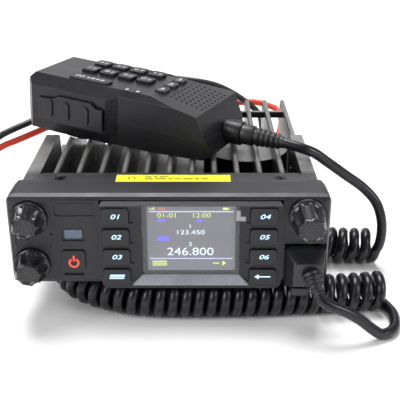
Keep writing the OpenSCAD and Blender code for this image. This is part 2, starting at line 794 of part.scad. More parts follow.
pad_key(3);  // pad_key_04
pad_key(4);  // pad_key_05
pad_key(5);  // pad_key_06
pad_key(6);  // pad_key_07
pad_key(7);  // pad_key_08
pad_key(8);  // pad_key_09
pad_key(9);  // pad_key_10
pad_key(10);  // pad_key_11
pad_key(11);  // pad_key_12
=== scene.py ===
import math

import bpy
import numpy as np
from mathutils import Matrix, Vector


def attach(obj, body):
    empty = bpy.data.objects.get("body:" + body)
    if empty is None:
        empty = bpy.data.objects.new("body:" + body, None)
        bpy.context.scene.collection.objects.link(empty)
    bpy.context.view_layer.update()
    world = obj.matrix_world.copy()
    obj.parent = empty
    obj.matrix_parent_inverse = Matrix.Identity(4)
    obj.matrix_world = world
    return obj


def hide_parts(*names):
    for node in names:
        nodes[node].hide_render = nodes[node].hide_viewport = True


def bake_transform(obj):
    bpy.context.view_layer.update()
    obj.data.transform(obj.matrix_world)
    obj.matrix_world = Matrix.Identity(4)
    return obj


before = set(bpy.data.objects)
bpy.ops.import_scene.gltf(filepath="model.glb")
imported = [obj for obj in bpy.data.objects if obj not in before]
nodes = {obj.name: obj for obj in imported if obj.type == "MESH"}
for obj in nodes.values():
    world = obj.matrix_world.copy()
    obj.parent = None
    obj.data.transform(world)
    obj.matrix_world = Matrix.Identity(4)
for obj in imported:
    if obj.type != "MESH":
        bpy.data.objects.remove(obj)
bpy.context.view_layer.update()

FRONT_Y = -88.0
TABLE_Z = -24.55
# the microphone's top, its cord's height, and the start and slope of the far part of its top
MIC_TOP = 30
NECK_W = 9.8
CROWN_V = 15
CROWN_TILT = math.radians(25)
MM = Matrix.Scale(0.001, 4)


def front(x, y, z):
    return Vector((x, y + FRONT_Y, z)) / 1000


MIC = (
    Matrix.Translation(front(42, 73, 46.4))
    @ Matrix.Rotation(math.radians(154.5), 4, "Z")
    @ Matrix.Rotation(math.radians(-3.8), 4, "Y")
    @ Matrix.Diagonal((1, -1, 1, 1))
)
MIC_MM = MIC @ MM


def mic_at(u, v, w):
    return MIC_MM @ Vector((u, v, w))


def front_plane(x, y, z):
    """A drawing plane facing -Y: X right, Y up, Z towards the viewer, in millimetres."""
    return Matrix.Translation(front(x, y, z)) @ Matrix.Rotation(math.radians(90), 4, "X") @ MM


def top_plane(u, v, rise):
    """A drawing plane above the microphone's top: X to the cord end, Y away from the talk key."""
    beyond = max(0, v - CROWN_V)
    lean = Matrix.Rotation(-CROWN_TILT, 4, "X") if beyond else Matrix.Identity(4)
    place = Matrix.Translation((u, v, MIC_TOP - beyond * math.tan(CROWN_TILT)))
    return MIC_MM @ place @ lean @ Matrix.Translation((0, 0, rise)) @ Matrix.Diagonal((-1, 1, 1, 1))


# ---- camera ----
cam_data = bpy.data.cameras.new("camera")
cam_data.lens = 71.496
cam_data.sensor_width = 36
cam_data.clip_start = 0.01
cam_data.clip_end = 20
camera = bpy.data.objects.new("camera", cam_data)
camera.location = (0.015742, -0.448027, 0.207562)
camera.rotation_euler = (math.radians(66), 0, 0)
bpy.context.scene.collection.objects.link(camera)
bpy.context.scene.camera = camera


# ---- materials ----
class Nodes:
    """A new material's node tree, with short ways to add and join nodes."""

    def __init__(self, name):
        self.mat = bpy.data.materials.new(name)
        self.mat.use_nodes = True
        self.tree = self.mat.node_tree
        self.shader = self.tree.nodes["Principled BSDF"]
        self.coords = self.add("ShaderNodeTexCoord").outputs["Object"]

    def add(self, kind, **values):
        node = self.tree.nodes.new(kind)
        for key, value in values.items():
            setattr(node, key, value)
        return node

    def link(self, a, b):
        self.tree.links.new(a, b)

    def noise(self, scale, detail=3.0, rough=0.5, stretch=None):
        node = self.add("ShaderNodeTexNoise")
        node.inputs["Scale"].default_value = scale
        node.inputs["Detail"].default_value = detail
        node.inputs["Roughness"].default_value = rough
        source = self.coords
        if stretch:
            mapping = self.add("ShaderNodeMapping")
            mapping.inputs["Scale"].default_value = stretch
            self.link(self.coords, mapping.inputs["Vector"])
            source = mapping.outputs["Vector"]
        self.link(source, node.inputs["Vector"])
        return node.outputs["Fac"]

    def spread(self, source, low, high, start=0.3, end=0.7):
        node = self.add("ShaderNodeMapRange")
        node.inputs["From Min"].default_value = start
        node.inputs["From Max"].default_value = end
        node.inputs["To Min"].default_value = low
        node.inputs["To Max"].default_value = high
        self.link(source, node.inputs["Value"])
        return node.outputs["Result"]

    def mix(self, factor, a, b):
        node = self.add("ShaderNodeMix", data_type="RGBA")
        self.link(factor, node.inputs["Factor"])
        for socket, value in ((node.inputs["A"], a), (node.inputs["B"], b)):
            if isinstance(value, tuple):
                socket.default_value = (*value, 1)
            else:
                self.link(value, socket)
        return node.outputs["Result"]

    def bump(self, height, strength, distance, under=None):
        node = self.add("ShaderNodeBump")
        node.inputs["Strength"].default_value = strength
        node.inputs["Distance"].default_value = distance
        self.link(height, node.inputs["Height"])
        if under:
            self.link(under, node.inputs["Normal"])
        return node.outputs["Normal"]

    def edges(self, radius):
        """1 on the sharp edges of the shape and 0 on its flats."""
        bevel = self.add("ShaderNodeBevel", samples=4)
        bevel.inputs["Radius"].default_value = radius
        geometry = self.add("ShaderNodeNewGeometry")
        dot = self.add("ShaderNodeVectorMath", operation="DOT_PRODUCT")
        self.link(bevel.outputs["Normal"], dot.inputs[0])
        self.link(geometry.outputs["Normal"], dot.inputs[1])
        return self.spread(dot.outputs["Value"], 1.0, 0.0, 0.86, 0.995)

    def looking_up(self, from_y):
        """1 on faces that look up at a place further back than from_y, and 0 elsewhere."""
        geometry = self.add("ShaderNodeNewGeometry")
        normal, place = self.add("ShaderNodeSeparateXYZ"), self.add("ShaderNodeSeparateXYZ")
        self.link(geometry.outputs["Normal"], normal.inputs["Vector"])
        self.link(self.coords, place.inputs["Vector"])
        both = self.add("ShaderNodeMath", operation="MULTIPLY")
        self.link(self.spread(normal.outputs["Z"], 0, 1, 0.25, 0.9), both.inputs[0])
        self.link(self.spread(place.outputs["Y"], 0, 1, from_y, from_y + 0.006), both.inputs[1])
        return both.outputs["Value"]


def moulded(name, colour, speckle_and_highlight, rough, grain=2600.0, depth=0.00006, strength=0.35, edge_highlight=0.5, spec=0.5,
            tone=0.82, painted_sheen=None):
    """Moulded or cast surface: fine grain, uneven gloss, slight tone changes and paler edges painted as a
    highlight.

    The last argument paints a sheen: it gives a distance along Y, in metres, and the colours of a painted sheen
    on faces that look up behind it.
    """
    n = Nodes(name)
    fine = n.noise(grain, 2.0, 0.6)
    broad = n.noise(60, 4.0, 0.55)
    darker = tuple(c * tone for c in colour)
    base = n.mix(n.spread(broad, 0, 1), darker, colour)
    # light speckle from the fine grain, in the same pale colour that the painted edge highlight uses
    base = n.mix(n.spread(fine, 0, 0.35, 0.45, 0.75), base, speckle_and_highlight)
    # painted highlight: a paler colour on the sharp edges, found by the bevel mask
    if edge_highlight:
        edge_highlight_mask = n.add("ShaderNodeMath", operation="MULTIPLY")
        n.link(n.edges(0.0007), edge_highlight_mask.inputs[0])
        n.link(n.spread(broad, edge_highlight * 0.4, edge_highlight), edge_highlight_mask.inputs[1])
        base = n.mix(edge_highlight_mask.outputs["Value"], base, speckle_and_highlight)
    # painted sheen: a lighter colour on faces that look up, behind the given distance along Y
    if painted_sheen:
        base = n.mix(n.looking_up(painted_sheen[0]), base, n.mix(n.spread(broad, 0, 1), painted_sheen[1], painted_sheen[2]))
    n.link(base, n.shader.inputs["Base Color"])
    n.link(n.spread(broad, rough * 0.85, min(1.0, rough * 1.15)), n.shader.inputs["Roughness"])
    n.link(n.bump(fine, strength, depth, n.bump(broad, 0.05, 0.0004)), n.shader.inputs["Normal"])
    n.shader.inputs["Specular IOR Level"].default_value = spec
    return n.mat


def metal(name, colour, rough):
    """Bare or blackened metal with fine lines along it."""
    n = Nodes(name)
    lines = n.noise(900, 3.0, 0.6, (1.0, 0.12, 1.0))
    broad = n.noise(120, 3.0)
    darker = tuple(c * 0.86 for c in colour)
    n.link(n.mix(n.spread(broad, 0, 1), darker, colour), n.shader.inputs["Base Color"])
    n.link(n.spread(lines, rough * 0.7, rough * 1.4), n.shader.inputs["Roughness"])
    n.link(n.bump(lines, 0.06, 0.00005), n.shader.inputs["Normal"])
    n.shader.inputs["Metallic"].default_value = 1.0
    return n.mat


def glowing(name, colour, strength):
    """Backlit print: its ink varies a little in gloss and height."""
    n = Nodes(name)
    grain = n.noise(1800, 2.0)
    n.shader.inputs["Base Color"].default_value = (*colour, 1)
    n.shader.inputs["Emission Color"].default_value = (*colour, 1)
    n.shader.inputs["Emission Strength"].default_value = strength
    n.link(n.spread(grain, 0.35, 0.6), n.shader.inputs["Roughness"])
    n.link(n.bump(grain, 0.15, 0.00003), n.shader.inputs["Normal"])
    return n.mat


# the paler edges of the moulded materials below are a painted highlight
M = {
    "bezel": moulded("bezel_plastic", (0.012, 0.012, 0.015), (0.075, 0.075, 0.09), 0.36, spec=0.36),
    "panel": moulded("panel_plastic", (0.010, 0.010, 0.013), (0.06, 0.06, 0.07), 0.40, spec=0.36),
    # cast_black: the lighter faces that look up at the back are a painted sheen
    "cast": moulded("cast_black", (0.016, 0.015, 0.017), (0.12, 0.118, 0.118), 0.30, grain=1500, depth=0.00010,
                    strength=0.45, edge_highlight=0.6, spec=0.5,
                    painted_sheen=(-0.052, (0.11, 0.108, 0.106), (0.18, 0.176, 0.172))),
    "cover": moulded("cover_black", (0.028, 0.028, 0.03), (0.13, 0.13, 0.14), 0.36, grain=900),
    "screw": metal("screw_black", (0.028, 0.028, 0.031), 0.26),
    "sill": moulded("sill_grey", (0.26, 0.265, 0.30), (0.62, 0.63, 0.68), 0.38, grain=1500, depth=0.0002,
                    strength=0.9, edge_highlight=0.2, tone=0.7),
    "window": moulded("window_blue", (0.085, 0.12, 0.19), (0.2, 0.25, 0.34), 0.3, edge_highlight=0.2),
    "speaker": moulded("speaker_black", (0.02, 0.02, 0.022), (0.06, 0.06, 0.06), 0.6),
    "nickel": metal("nickel", (0.62, 0.60, 0.56), 0.22),
    "jack": moulded("jack_black", (0.012, 0.012, 0.013), (0.05, 0.05, 0.05), 0.32),
    "rubber": moulded("rubber_black", (0.010, 0.010, 0.012), (0.05, 0.05, 0.055), 0.42),
    "wire_red": moulded("wire_red", (0.72, 0.055, 0.025), (0.80, 0.16, 0.10), 0.40, grain=900, edge_highlight=0,
                        tone=0.82),
    "wire_black": moulded("wire_black", (0.014, 0.014, 0.015), (0.05, 0.05, 0.05), 0.42, grain=900, edge_highlight=0),
    "connector": moulded("connector_black", (0.014, 0.014, 0.016), (0.07, 0.07, 0.07), 0.38),
    "plug": moulded("plug_black", (0.013, 0.013, 0.016), (0.08, 0.08, 0.09), 0.34, grain=1700),
    "cord": moulded("cord_black", (0.006, 0.006, 0.009), (0.03, 0.03, 0.04), 0.30, grain=1200, depth=0.00004,
                    strength=0.25, edge_highlight=0, spec=0.42),
    "mic": moulded("mic_black", (0.006, 0.0055, 0.008), (0.07, 0.07, 0.085), 0.33, grain=1700, depth=0.00014,
                   strength=0.6, edge_highlight=0.7, spec=0.34),
    "mic_back": moulded("mic_back_black", (0.005, 0.005, 0.006), (0.05, 0.05, 0.06), 0.36, grain=1700, edge_highlight=0.4,
                        spec=0.34),
    "chrome": metal("chrome", (0.86, 0.87, 0.9), 0.09),
    "ptt": moulded("ptt_black", (0.008, 0.008, 0.011), (0.07, 0.07, 0.085), 0.34, edge_highlight=0.7, spec=0.34),
    "pad": moulded("pad_rubber", (0.007, 0.007, 0.009), (0.05, 0.05, 0.06), 0.42, spec=0.36),
    "key": moulded("key_rubber", (0.009, 0.009, 0.014), (0.06, 0.06, 0.075), 0.42, spec=0.4),
    "knob": moulded("knob_black", (0.007, 0.007, 0.009), (0.07, 0.07, 0.08), 0.22, grain=1200, edge_highlight=0.5),
    "legend_core": glowing("legend_core", (0.50, 0.76, 1.0), 0.95),
    "power_mark": glowing("power_mark", (0.85, 0.07, 0.03), 0.45),
    "mic_legend": moulded("mic_legend", (0.50, 0.51, 0.56), (0.7, 0.7, 0.72), 0.5, edge_highlight=0),
    "label_mark": moulded("label_mark", (0.035, 0.032, 0.012), (0.07, 0.065, 0.03), 0.5, edge_highlight=0),
    "lcd_white": glowing("lcd_white", (0.80, 0.90, 1.0), 0.85),
    "lcd_line": glowing("lcd_line", (0.60, 0.68, 0.92), 0.55),
    "lcd_green": glowing("lcd_green", (0.72, 0.86, 0.20), 0.7),
    "lcd_blue": glowing("lcd_blue", (0.18, 0.16, 0.88), 0.6),
    "lcd_red": glowing("lcd_red", (0.75, 0.22, 0.16), 0.45),
}


def label_material():
    n = Nodes("label_yellow")
    broad, fine = n.noise(90, 3.0), n.noise(2200, 2.0)
    yellow = n.mix(n.spread(broad, 0, 1), (0.80, 0.74, 0.012), (0.90, 0.86, 0.03))
    n.link(yellow, n.shader.inputs["Base Color"])
    n.link(n.spread(fine, 0.25, 0.5), n.shader.inputs["Roughness"])
    n.link(n.bump(broad, 0.15, 0.0003), n.shader.inputs["Normal"])
    return n.mat


def lcd_material():
    """Lit grey screen: a soft gradient and faint rows of picture cells."""
    n = Nodes("lcd_grey")
    split = n.add("ShaderNodeSeparateXYZ")
    n.link(n.coords, split.inputs["Vector"])
    cloud = n.noise(55, 2.0)
    height = n.spread(split.outputs["Z"], 0.0, 1.0, 0.006, 0.043)
    shade = n.mix(height, (0.20, 0.20, 0.225), (0.145, 0.145, 0.16))
    shade = n.mix(n.spread(cloud, 0, 0.3), shade, (0.25, 0.25, 0.28))
    cells = n.add("ShaderNodeTexWave", wave_type="BANDS", bands_direction="Z")
    cells.inputs["Scale"].default_value = 700
    n.link(n.coords, cells.inputs["Vector"])
    shade = n.mix(n.spread(cells.outputs["Fac"], 0, 0.10, 0, 1), shade, (0.1, 0.1, 0.12))
    n.link(shade, n.shader.inputs["Base Color"])
    n.link(shade, n.shader.inputs["Emission Color"])
    n.shader.inputs["Emission Strength"].default_value = 0.42
    n.link(n.spread(cloud, 0.3, 0.5), n.shader.inputs["Roughness"])
    return n.mat


def board_material():
    n = Nodes("board_green")
    brick = n.add("ShaderNodeTexBrick")
    brick.inputs["Scale"].default_value = 260
    brick.inputs["Color1"].default_value = (0.02, 0.13, 0.06, 1)
    brick.inputs["Color2"].default_value = (0.03, 0.17, 0.08, 1)
    brick.inputs["Mortar"].default_value = (0.08, 0.3, 0.12, 1)
    n.link(n.coords, brick.inputs["Vector"])
    n.link(brick.outputs["Color"], n.shader.inputs["Base Color"])
    n.link(n.spread(n.noise(400), 0.3, 0.5), n.shader.inputs["Roughness"])
    return n.mat


def glass_material():
    n = Nodes("screen_glass")
    smear = n.noise(70, 3.0)
    n.shader.inputs["Base Color"].default_value = (0.30, 0.31, 0.34, 1)
    n.shader.inputs["Alpha"].default_value = 0.16
    n.link(n.spread(smear, 0.05, 0.2), n.shader.inputs["Roughness"])
    n.shader.inputs["IOR"].default_value = 1.5
    return n.mat


def film_material():
    n = Nodes("film")
    n.shader.inputs["Base Color"].default_value = (0.30, 0.29, 0.31, 1)
    n.link(n.spread(n.noise(200, 3.0), 0.25, 0.45), n.shader.inputs["Roughness"])
    n.link(n.bump(n.noise(500, 2.0), 0.1, 0.0001), n.shader.inputs["Normal"])
    return n.mat


M["label"] = label_material()
M["lcd"] = lcd_material()
M["board"] = board_material()
M["glass"] = glass_material()
M["film"] = film_material()


# ---- shapes ----
def add_mesh(name, verts, faces, body, material, matrix=None, smooth=30):
    """A piece from points in metres, or in millimetres with a matrix, that rides on a body."""
    mesh = bpy.data.meshes.new(name)
    mesh.from_pydata([tuple(v) for v in verts], [], [tuple(f) for f in faces])
    if matrix is not None:
        mesh.transform(matrix)
        if matrix.determinant() < 0:
            mesh.flip_normals()
    mesh.validate()
    mesh.update()
    if smooth:
        mesh.polygons.foreach_set("use_smooth", [True] * len(mesh.polygons))
        mesh.set_sharp_from_angle(angle=math.radians(smooth))
    mesh.materials.append(material)
    piece = bpy.data.objects.new(name, mesh)
    bpy.context.scene.collection.objects.link(piece)
    if body:
        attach(piece, body)
    return piece


def smooth_line(points, step):
    """Even points, in metres, on a smooth curve through the given ones."""
    p = np.array([list(q) for q in points], float)
    p = np.vstack([2 * p[0] - p[1], p, 2 * p[-1] - p[-2]])
    fine = []
    for i in range(1, len(p) - 2):
        a, b, c, d = p[i - 1 : i + 3]
        knots = [0.0]
        for s, e in ((a, b), (b, c), (c, d)):
            knots.append(knots[-1] + max(np.linalg.norm(e - s), 1e-9) ** 0.5)
        t0, t1, t2, t3 = knots
        for t in np.linspace(t1, t2, 24, endpoint=False):
            a1 = (t1 - t) / (t1 - t0) * a + (t - t0) / (t1 - t0) * b
            a2 = (t2 - t) / (t2 - t1) * b + (t - t1) / (t2 - t1) * c
            a3 = (t3 - t) / (t3 - t2) * c + (t - t2) / (t3 - t2) * d
            b1 = (t2 - t) / (t2 - t0) * a1 + (t - t0) / (t2 - t0) * a2
            b2 = (t3 - t) / (t3 - t1) * a2 + (t - t1) / (t3 - t1) * a3
            fine.append((t2 - t) / (t2 - t1) * b1 + (t - t1) / (t2 - t1) * b2)
    fine.append(p[-2])
    return even(np.array(fine), step)


def even(line, step):
    gaps = np.linalg.norm(np.diff(line, axis=0), axis=1)
    at = np.concatenate([[0], np.cumsum(gaps)])
    count = max(2, int(round(at[-1] / step)) + 1)
    want = np.linspace(0, at[-1], count)
    return np.stack([np.interp(want, at, line[:, k]) for k in range(3)], axis=1)


def along(line):
    """Directions and sideways axes of a line, turned as little as possible from point to point."""
    t = np.gradient(line, axis=0)
    t /= np.linalg.norm(t, axis=1)[:, None]
    side = np.cross(t[0], (0, 0, 1.0) if abs(t[0][2]) < 0.9 else (0, 1.0, 0))
    sides = []
    for d in t:
        side = side - side.dot(d) * d
        side /= np.linalg.norm(side)
        sides.append(side)
    sides = np.array(sides)
    return t, sides, np.cross(t, sides)


def tube(name, line, radius, body, material, around=14):
    """A round tube along a line in metres. radius is one number or one for each point."""
    line = np.asarray(line, float)
    radii = np.full(len(line), radius) if np.isscalar(radius) else np.asarray(radius)
    _, a, b = along(line)
    turn = np.linspace(0, 2 * math.pi, around, endpoint=False)
    round_it = np.cos(turn)[None, :, None] * a[:, None] + np.sin(turn)[None, :, None] * b[:, None]
    rings = line[:, None] + radii[:, None, None] * round_it
    verts = rings.reshape(-1, 3)
    faces = []
    for i in range(len(line) - 1):
        for k in range(around):
            m = (k + 1) % around
            faces.append((i * around + k, i * around + m, (i + 1) * around + m, (i + 1) * around + k))
    last = (len(line) - 1) * around
    faces.append(tuple(reversed(range(around))))
    faces.append(tuple(range(last, last + around)))
    return add_mesh(name, verts, faces, body, material, smooth=60)


def surface(name, rings, body, material, matrix):
    """A capped skin over rings of the same number of points, in millimetres with a matrix."""
    count = len(rings[0])
    verts = [p for ring in rings for p in ring]
    faces = []
    for i in range(len(rings) - 1):
        for k in range(count):
            m = (k + 1) % count
            faces.append((i * count + k, i * count + m, (i + 1) * count + m, (i + 1) * count + k))
    last = (len(rings) - 1) * count
    faces.append(tuple(reversed(range(count))))
    faces.append(tuple(range(last, last + count)))
    return add_mesh(name, verts, faces, body, material, matrix, smooth=35)


class Marks:
    """Flat print in a drawing plane, in millimetres: thin raised plates, joined into one piece."""

    def __init__(self, thick=0.05):
        self.thick, self.verts, self.faces = thick, [], []

    def plate(self, outline):
        start, count = len(self.verts), len(outline)
        for z in (0, self.thick):
            self.verts += [(x, y, z) for x, y in outline]
        top = [start + count + k for k in range(count)]
        self.faces.append(tuple(top))
        for k in range(count):
            m = (k + 1) % count
            self.faces.append((start + k, start + m, top[m], top[k]))
        return self

    def bar(self, x, y, w, h, lean=0.0):
        s = lean * h / 2
        return self.plate([(x - w / 2 - s, y - h / 2), (x + w / 2 - s, y - h / 2),
                           (x + w / 2 + s, y + h / 2), (x - w / 2 + s, y + h / 2)])

    def arc(self, x, y, radius, width, a0=0.0, a1=360.0):
        angles = [math.radians(a0 + (a1 - a0) * k / 40) for k in range(41)]
        for p, q in zip(angles, angles[1:]):
            self.plate([(x + r * math.cos(a), y + r * math.sin(a))
                        for r, a in ((radius - width / 2, p), (radius + width / 2, p),
                                     (radius + width / 2, q), (radius - width / 2, q))])
        return self

    def number(self, text, x, y, height, lean=0.0, widen=1.0, weight=0.0):
        curve = bpy.data.curves.new("number", "FONT")
        curve.body, curve.size, curve.shear = text, height / 0.7, lean
        curve.align_x, curve.align_y, curve.offset = "CENTER", "CENTER", weight
        holder = bpy.data.objects.new("number", curve)
        mesh = bpy.data.meshes.new_from_object(holder)
        start = len(self.verts)
        self.verts += [(x + v.co.x * widen, y + v.co.y, self.thick) for v in mesh.vertices]
        self.faces += [tuple(start + i for i in p.vertices) for p in mesh.polygons]
        bpy.data.objects.remove(holder)
        bpy.data.meshes.remove(mesh)
        return self

    def piece(self, name, plane, body, material, slot=None):
        return add_mesh(name, self.verts, self.faces, body, material, plane, smooth=0)


# ---- cords ----
CORD_R = 0.0029
WIRE_R = 0.0022
COIL_R = 0.00785
COIL_Z = -13.8
CORE_STEP = 0.00045
COIL_PITCH = 0.0069
core_points = [
    (116, 17), (98, 14), (80, 12.5), (45, 10), (12, 9), (-15, 10), (-33, 15), (-49, 25), (-59, 42), (-62, 63),
    (-56, 86), (-42, 103), (-20, 112), (8, 114), (35, 108), (58, 92), (76, 77), (95, 71), (121, 70),
]
core = smooth_line([front(x, y, COIL_Z) for x, y in core_points], CORE_STEP)
_, core_side, core_up = along(core)
# the turns start at the bottom, rise at the back, and end at the front on the way up
turns = round(CORE_STEP * (len(core) - 1) / COIL_PITCH) + 0.25
phase = math.pi / 2 - 2 * math.pi * turns * np.linspace(0, 1, len(core))
helix = core + COIL_R * (np.cos(phase)[:, None] * core_side + np.sin(phase)[:, None] * core_up)

plug_lead = smooth_line(
    [front(*p) for p in (
        (73.6, -13.9, 6.4), (75.2, -16.8, 2.9), (77.4, -19.1, 0.3), (81.2, -20, -1.8), (86.2, -19.8, -4),
        (91.7, -19, -7.2), (97.7, -18, -11.8), (103.5, -17.3, -17), (108.5, -16, -20.8), (113, -13.6, -21.65),
        (116.8, -9, -21.65), (118.8, -2, -21.65), (119.2, 6, -21.65), (117.6, 12.5, -21.65),
    )] + [Vector(helix[k]) for k in (0, 2, 4)],
    0.0016,
)
plug_lead = plug_lead[: -5]
cord_line = np.vstack([plug_lead, helix])
coiled = tube("coiled_cord_visual", cord_line, CORD_R, "radio", M["cord"], around=10)
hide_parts("coiled_cord", "plug_lead")

mic_lead = smooth_line(
    [Vector(helix[k]) for k in (-5, -3, -1)] + [front(*p) for p in (
        (122.6, 62.3, -9.5), (123.4, 62.6, -1.5), (122.4, 63.8, 8), (118.8, 65.4, 17), (111.5, 66.8, 25),
        (98.9, 64.6, 34.9), (86.8, 61.4, 44.6), (80.5, 60, 49.4), (74.6, 59, 52.2),
    )] + [mic_at(u, 0, NECK_W) for u in (-20, -14)],
    0.0022,
)
hand_lead = tube("microphone_lead", mic_lead, CORD_R, None, M["cord"])
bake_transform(hand_lead)
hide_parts("mic_lead")

for name, material, points in (
    ("red_lead", "wire_red", (
        (65, 151, 13), (65, 157, 13), (66, 164, 13), (69, 178, 13.5), (74, 192, 17), (76, 202, 22.5),
        (73.5, 209, 28), (65, 212, 31), (56, 212.5, 33), (46, 212.5, 32.5), (20, 212, 32), (-20, 209, 31),
        (-56, 196, 30), (-82, 176, 29.5), (-98, 160, 27), (-108, 152, 24.7), (-120, 146, 21),
        (-134, 137, 11), (-146, 124, -3), (-156, 108, -15), (-166, 90, -21.6), (-174, 68, -21.6), (-180, 50, -18.2), (-180, 46, -17.8))),
    ("black_lead", "wire_black", (
        (59, 151, 11), (59, 157, 11), (59, 166, 11.5), (60, 180, 14.5), (61, 194, 20.5), (59.5, 203, 27),
        (54, 206, 31.5), (46, 207, 37.5), (37, 207, 43), (27, 207, 47.5), (15, 206, 50.5), (-15, 205, 53.5),
        (-46, 197, 51.5), (-70, 184, 46.5), (-87, 171, 40.5), (-99.3, 160, 35.4), (-108.5, 153, 33),
        (-120, 147, 28.5), (-137, 137, 15),
        (-152, 123, -1), (-164, 108, -13.5), (-174, 92, -21.4), (-182, 70, -21.6), (-186, 50, -18.2),
        (-186, 46, -17.8))),
):
    route = smooth_line([front(*p) for p in points], 0.006)
    lead = tube(name + "_visual", route, WIRE_R, "radio", M[material])
    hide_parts(name)


# ---- CAD nodes: finish and softened edges ----
def soften(node, width):
    o = nodes[node]
    weld = o.modifiers.new("weld", "WELD")
    weld.merge_threshold = 0.00001
    bevel = o.modifiers.new("bevel", "BEVEL")
    bevel.width = width / 1000
    bevel.segments = 3
    bevel.limit_method = "ANGLE"
    bevel.angle_limit = math.radians(32)
    bevel.harden_normals = True
    bevel.use_clamp_overlap = True


def finish_node(node, material, width):
    mesh = nodes[node].data
    mesh.materials.clear()
    mesh.materials.append(M[material])
    if width:
        soften(node, width)


for node, material, width in (
    ("chassis", "cast", 0.45), ("bottom_cover", "cover", 0.2), ("case_screws", "screw", 0.12),
    ("bezel", "bezel", 0.35), ("key_panel", "panel", 0.3), ("screen_sill", "sill", 0.25),
    ("screen_glass", "glass", 0.2), ("display", "lcd", 0), ("front_board", "board", 0),
    ("status_window", "window", 0.4), ("heat_label", "label", 0), ("main_board", "board", 0),
    ("speaker", "speaker", 0), ("antenna_socket", "nickel", 0.2), ("speaker_jack", "jack", 0.2),
    ("lead_grommet", "rubber", 0.3), ("power_connector", "connector", 0.3), ("mic_socket", "jack", 0),
    ("mic_plug", "plug", 0.9), ("power_key", "key", 0.7),
    ("mic_front", "mic", 0.8), ("mic_back", "mic_back", 0.8),
    ("hang_button", "chrome", 0.35), ("ptt_key", "ptt", 0.8), ("end_key", "pad", 0.8), ("wide_key", "pad", 1.1),
):
    finish_node(node, material, width)
for i in range(1, 5):
    finish_node(f"key_left_{i}", "key", 0.7)
    finish_node(f"key_right_{i}", "key", 0.7)
    finish_node(f"oval_key_{i}", "pad", 1.1)
for k in range(1, 13):
    finish_node(f"pad_key_{k:02d}", "pad", 1.2)


# ---- turned pieces: knobs and strain reliefs ----
def turned(name, profile, body, material, matrix, around=48):
    """A turned piece from (height, radius) pairs, its axis along the matrix's Z."""
    angles = [2 * math.pi * k / around for k in range(around)]
    rings = [[(r * math.cos(a), r * math.sin(a), h) for a in angles] for h, r in profile]
    return surface(name, rings, body, material, matrix)


FLUTES = 9
FLUTE_STEPS = 10


def knob(name, x, z, length, skirt, waist, cap):
    """A knob with a round skirt, hollow flutes between sharp ridges and a dished cap."""
    rings = []
    for h, r, depth in (
        (0, skirt, 0), (1.5, skirt, 0), (1.9, skirt - 0.35, 0), (2.1, skirt - 1.0, 0), (2.8, skirt - 1.0, 0),
        (3.0, skirt - 0.45, 0.3), (3.8, skirt - 0.5, 1.2), (length - 2.6, waist + 0.5, 1.45),
        (length - 1.3, waist, 1.0), (length - 0.5, cap + 0.45, 0.25), (length - 0.12, cap, 0),
        (length, cap - 0.35, 0),
        (length, cap - 0.8, 0), (length - 0.5, cap - 1.3, 0), (length - 0.65, 0.4, 0),
    ):
        ring = []
        for k in range(FLUTES * FLUTE_STEPS):
            a = 2 * math.pi * k / (FLUTES * FLUTE_STEPS)
            across = 2 * (k % FLUTE_STEPS) / FLUTE_STEPS - 1
            radius = r - depth * (1 - across * across)
            ring.append((radius * math.cos(a), radius * math.sin(a), h))
        rings.append(ring)
    piece = surface(name + "_visual", rings, name, M["knob"], front_plane(x, 1.6, z))
    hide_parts(name)


knob("volume_knob", -70.6, 36.2, 12, 9.2, 7.0, 5.4)
knob("squelch_knob", -71, 10, 12, 9.2, 7.0, 5.6)
knob("channel_knob", 69.8, 38, 19, 9.0, 7.3, 6.1)


def ribs(start, pitch, count, r0, r1, depth):
    """A tapering row of ribs as (height, radius) pairs."""
    pairs = []
    for i in range(count):
        r = r0 + (r1 - r0) * i / (count - 1)
        at = start + i * pitch
        shape = ((0, depth), (0.05, 0.15), (0.15, 0), (0.5, 0), (0.6, 0.15), (0.66, depth))
        pairs += [(at + h * pitch, r - cut) for h, cut in shape]
    return pairs


mic_boot = turned(
    "mic_boot_visual",
    [(9.2, 3.9), (9.5, 5.6), (9.9, 5.9), (16.4, 5.85), (16.9, 5.5), (17.1, 4.4), (18.2, 4.3)]
    + ribs(18.6, 3.0, 5, 5.4, 4.3, 0.9) + [(34.3, 3.35), (34.5, 3.1)],
    "microphone", M["rubber"],
    MIC_MM @ Matrix.Translation((12, 0, NECK_W)) @ Matrix.Rotation(math.radians(-90), 4, "Y"),
)
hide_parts("mic_boot")
boot_from, boot_to = front(71.2, -9.5, 11.5), front(75.2, -16.8, 2.9)
boot_turn = (boot_to - boot_from).to_track_quat("Z", "Y").to_matrix().to_4x4()
plug_boot = turned(
    "plug_boot_visual",
    [(0, 4.2), (0.3, 4.55), (1.9, 4.55)] + ribs(2.2, 2.3, 4, 4.5, 3.8, 0.75) + [(11.6, 3.3), (11.9, 3.0)],
    "radio", M["rubber"], Matrix.Translation(boot_from) @ boot_turn @ MM,
)
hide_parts("plug_boot")

